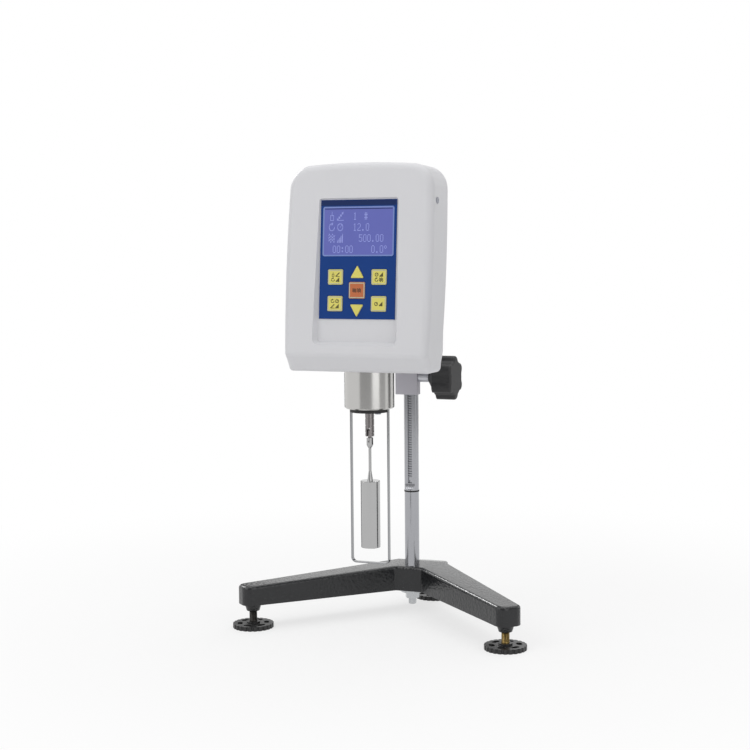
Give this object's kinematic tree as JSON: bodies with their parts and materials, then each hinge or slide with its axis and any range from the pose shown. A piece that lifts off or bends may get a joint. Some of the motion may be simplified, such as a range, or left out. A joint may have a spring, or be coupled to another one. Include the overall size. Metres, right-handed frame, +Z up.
{
  "type": "rotational viscometer",
  "caption": "Bench rotational viscometer: tilted display head on a rack column with three-legged base, drive and torsion spring inside, cylinder spindle in a U guard.",
  "frame": {"origin": "centre of the bounding box, on the bench", "axes": "+Z up, -Y the front with the display, +X the side of the lift knob"},
  "size_m": [0.305, 0.2546, 0.4616],
  "materials": {
    "cast_black": "black hammertone enamel",
    "column_steel": "satin chrome plate",
    "ring_black": "matte",
    "zinc": "bright zinc plate",
    "rack_steel": "milled",
    "foot_plastic": "moulded black",
    "stud_dark": "black oxide",
    "stud_brass": "machined",
    "block_anodised": "grey anodised",
    "knob_black": "matte moulded",
    "shaft_steel": "ground",
    "cover_grey": "fine texture light grey",
    "chassis_steel": "zinc plated sheet",
    "screw_steel": "dark",
    "level_glass": "clear",
    "window": "clear",
    "panel_blue": "printed polyester",
    "lcd": "backlit display",
    "board_green": "solder mask",
    "switch_black": "moulded",
    "key_yellow": "printed polyester",
    "key_orange": "printed polyester",
    "housing_steel": "turned satin",
    "guard_steel": "bright strip",
    "spindle_steel": "polished stainless",
    "spring_bronze": "spring bronze",
    "gear_brass": "hobbed",
    "disc_black": "black anodised",
    "motor_can": "plated can"
  },
  "bodies": {
    "stand": {"base_casting": "cast_black", "column": "column_steel", "column_ring": "ring_black", "column_bolt": "zinc", "column_washer": "zinc", "column_nut": "zinc", "rack_strip": "rack_steel"},
    "head": {"lift_block": "block_anodised", "pinion_bush": "block_anodised", "brake_screw": "screw_steel", "mount_screws": "screw_steel", "chassis": "chassis_steel", "front_cover": "cover_grey", "rear_cover": "cover_grey", "cover_screws": "screw_steel", "chassis_screws": "zinc", "bubble_level": "level_glass", "display_window": "window", "keypad_overlay": "panel_blue", "lcd_glass": "lcd", "lcd_board": "board_green", "keypad_board": "board_green", "key_switches": "switch_black", "main_board": "board_green", "gear_plate": "chassis_steel", "pillars": "gear_brass", "motor_body": "motor_can", "photo_sensors": "switch_black", "lower_housing": "housing_steel", "shaft_bearings": "shaft_steel", "guard_ring": "ring_black", "guard": "guard_steel", "power_jack": "switch_black", "switch_frame": "switch_black"},
    "lift_knob": {"pinion_shaft": "shaft_steel", "lift_knob": "knob_black"},
    "motor_rotor": {"motor_pinion": "shaft_steel"},
    "drive": {"drive_shaft": "disc_black", "drive_gear": "gear_brass", "hairspring": "spring_bronze"},
    "pivot": {"pivot_shaft": "shaft_steel", "lower_disc": "disc_black", "coupling_sleeve": "shaft_steel"},
    "link": {"coupling_link": "shaft_steel"},
    "spindle": {"spindle": "spindle_steel"},
    "rocker": {"switch_rocker": "switch_black"},
    "key_top_left": {"key_top_left": "key_yellow"},
    "key_top_right": {"key_top_right": "key_yellow"},
    "key_up": {"key_up": "key_yellow"},
    "key_centre": {"key_centre": "key_orange"},
    "key_bottom_left": {"key_bottom_left": "key_yellow"},
    "key_bottom_right": {"key_bottom_right": "key_yellow"},
    "key_down": {"key_down": "key_yellow"},
    "foot_stud_front_left": {"foot_stud_front_left": "stud_dark"},
    "foot_disc_front_left": {"foot_disc_front_left": "foot_plastic"},
    "foot_stud_front_right": {"foot_stud_front_right": "stud_brass"},
    "foot_disc_front_right": {"foot_disc_front_right": "foot_plastic"},
    "foot_stud_rear": {"foot_stud_rear": "stud_brass"},
    "foot_disc_rear": {"foot_disc_rear": "foot_plastic"}
  },
  "joints": [
    {"name": "lift", "type": "slide", "parent": "stand", "child": "head", "axis": [0, 0, 1], "range_m": [-0.07, 0.1]},
    {"name": "knob_turn", "type": "hinge", "parent": "head", "child": "lift_knob", "pos_m": [0.03, 0.02644, 0.2482], "axis": [1, 0, 0], "range_deg": [-1433.39, 1003.68]},
    {"name": "foot_front_left_height", "type": "slide", "parent": "stand", "child": "foot_stud_front_left", "axis": [0, 0, 1], "range_m": [-0.006, 0.006]},
    {"name": "foot_front_left_turn", "type": "hinge", "parent": "foot_stud_front_left", "child": "foot_disc_front_left", "pos_m": [-0.132, -0.07516, 0.003], "axis": [0, 0, 1], "range_deg": [-1730, 1730]},
    {"name": "foot_front_right_height", "type": "slide", "parent": "stand", "child": "foot_stud_front_right", "axis": [0, 0, 1], "range_m": [-0.006, 0.006]},
    {"name": "foot_front_right_turn", "type": "hinge", "parent": "foot_stud_front_right", "child": "foot_disc_front_right", "pos_m": [0.132, -0.07516, 0.003], "axis": [0, 0, 1], "range_deg": [-1730, 1730]},
    {"name": "foot_rear_height", "type": "slide", "parent": "stand", "child": "foot_stud_rear", "axis": [0, 0, 1], "range_m": [-0.006, 0.006]},
    {"name": "foot_rear_turn", "type": "hinge", "parent": "foot_stud_rear", "child": "foot_disc_rear", "pos_m": [0, 0.10684, 0.003], "axis": [0, 0, 1], "range_deg": [-1730, 1730]},
    {"name": "key_top_left_press", "type": "slide", "parent": "head", "child": "key_top_left", "axis": [0, 0.9965, -0.0837], "range_m": [0, 0.0005], "stiffness_N_per_m": 400, "springref_m": -0.0003},
    {"name": "key_top_right_press", "type": "slide", "parent": "head", "child": "key_top_right", "axis": [0, 0.9965, -0.0837], "range_m": [0, 0.0005], "stiffness_N_per_m": 400, "springref_m": -0.0003},
    {"name": "key_up_press", "type": "slide", "parent": "head", "child": "key_up", "axis": [0, 0.9965, -0.0837], "range_m": [0, 0.0005], "stiffness_N_per_m": 400, "springref_m": -0.0003},
    {"name": "key_centre_press", "type": "slide", "parent": "head", "child": "key_centre", "axis": [0, 0.9965, -0.0837], "range_m": [0, 0.0005], "stiffness_N_per_m": 400, "springref_m": -0.0003},
    {"name": "key_bottom_left_press", "type": "slide", "parent": "head", "child": "key_bottom_left", "axis": [0, 0.9965, -0.0837], "range_m": [0, 0.0005], "stiffness_N_per_m": 400, "springref_m": -0.0003},
    {"name": "key_bottom_right_press", "type": "slide", "parent": "head", "child": "key_bottom_right", "axis": [0, 0.9965, -0.0837], "range_m": [0, 0.0005], "stiffness_N_per_m": 400, "springref_m": -0.0003},
    {"name": "key_down_press", "type": "slide", "parent": "head", "child": "key_down", "axis": [0, 0.9965, -0.0837], "range_m": [0, 0.0005], "stiffness_N_per_m": 400, "springref_m": -0.0003},
    {"name": "power_rocker", "type": "hinge", "parent": "head", "child": "rocker", "pos_m": [0.027, 0.00854, 0.3], "axis": [1, 0, 0], "range_deg": [-9, 9]},
    {"name": "drive_spin", "type": "hinge", "parent": "head", "child": "drive", "pos_m": [0, -0.08616, 0.288], "axis": [0, 0, 1], "continuous": true},
    {"name": "motor_spin", "type": "hinge", "parent": "head", "child": "motor_rotor", "pos_m": [0, -0.06016, 0.294], "axis": [0, 0, 1], "continuous": true},
    {"name": "spring_wind", "type": "hinge", "parent": "drive", "child": "pivot", "pos_m": [0, -0.08616, 0.25], "axis": [0, 0, 1], "range_deg": [-5, 90], "stiffness_Nm_per_rad": 0.00005},
    {"name": "link_swing", "type": "hinge", "parent": "pivot", "child": "link", "pos_m": [0, -0.08616, 0.2055], "axis": [1, 0, 0], "range_deg": [-3, 3]},
    {"name": "spindle_swing", "type": "hinge", "parent": "link", "child": "spindle", "pos_m": [0, -0.08616, 0.1956], "axis": [0, 1, 0], "range_deg": [-3, 3]}
  ],
  "couplings": [
    {"joint": "knob_turn", "follows": "lift", "rad_per_m": -250},
    {"joint": "foot_front_left_turn", "follows": "foot_front_left_height", "rad_per_m": 5026.5},
    {"joint": "foot_front_right_turn", "follows": "foot_front_right_height", "rad_per_m": 5026.5},
    {"joint": "foot_rear_turn", "follows": "foot_rear_height", "rad_per_m": 5026.5},
    {"joint": "motor_spin", "follows": "drive_spin", "ratio": -3.3333}
  ]
}
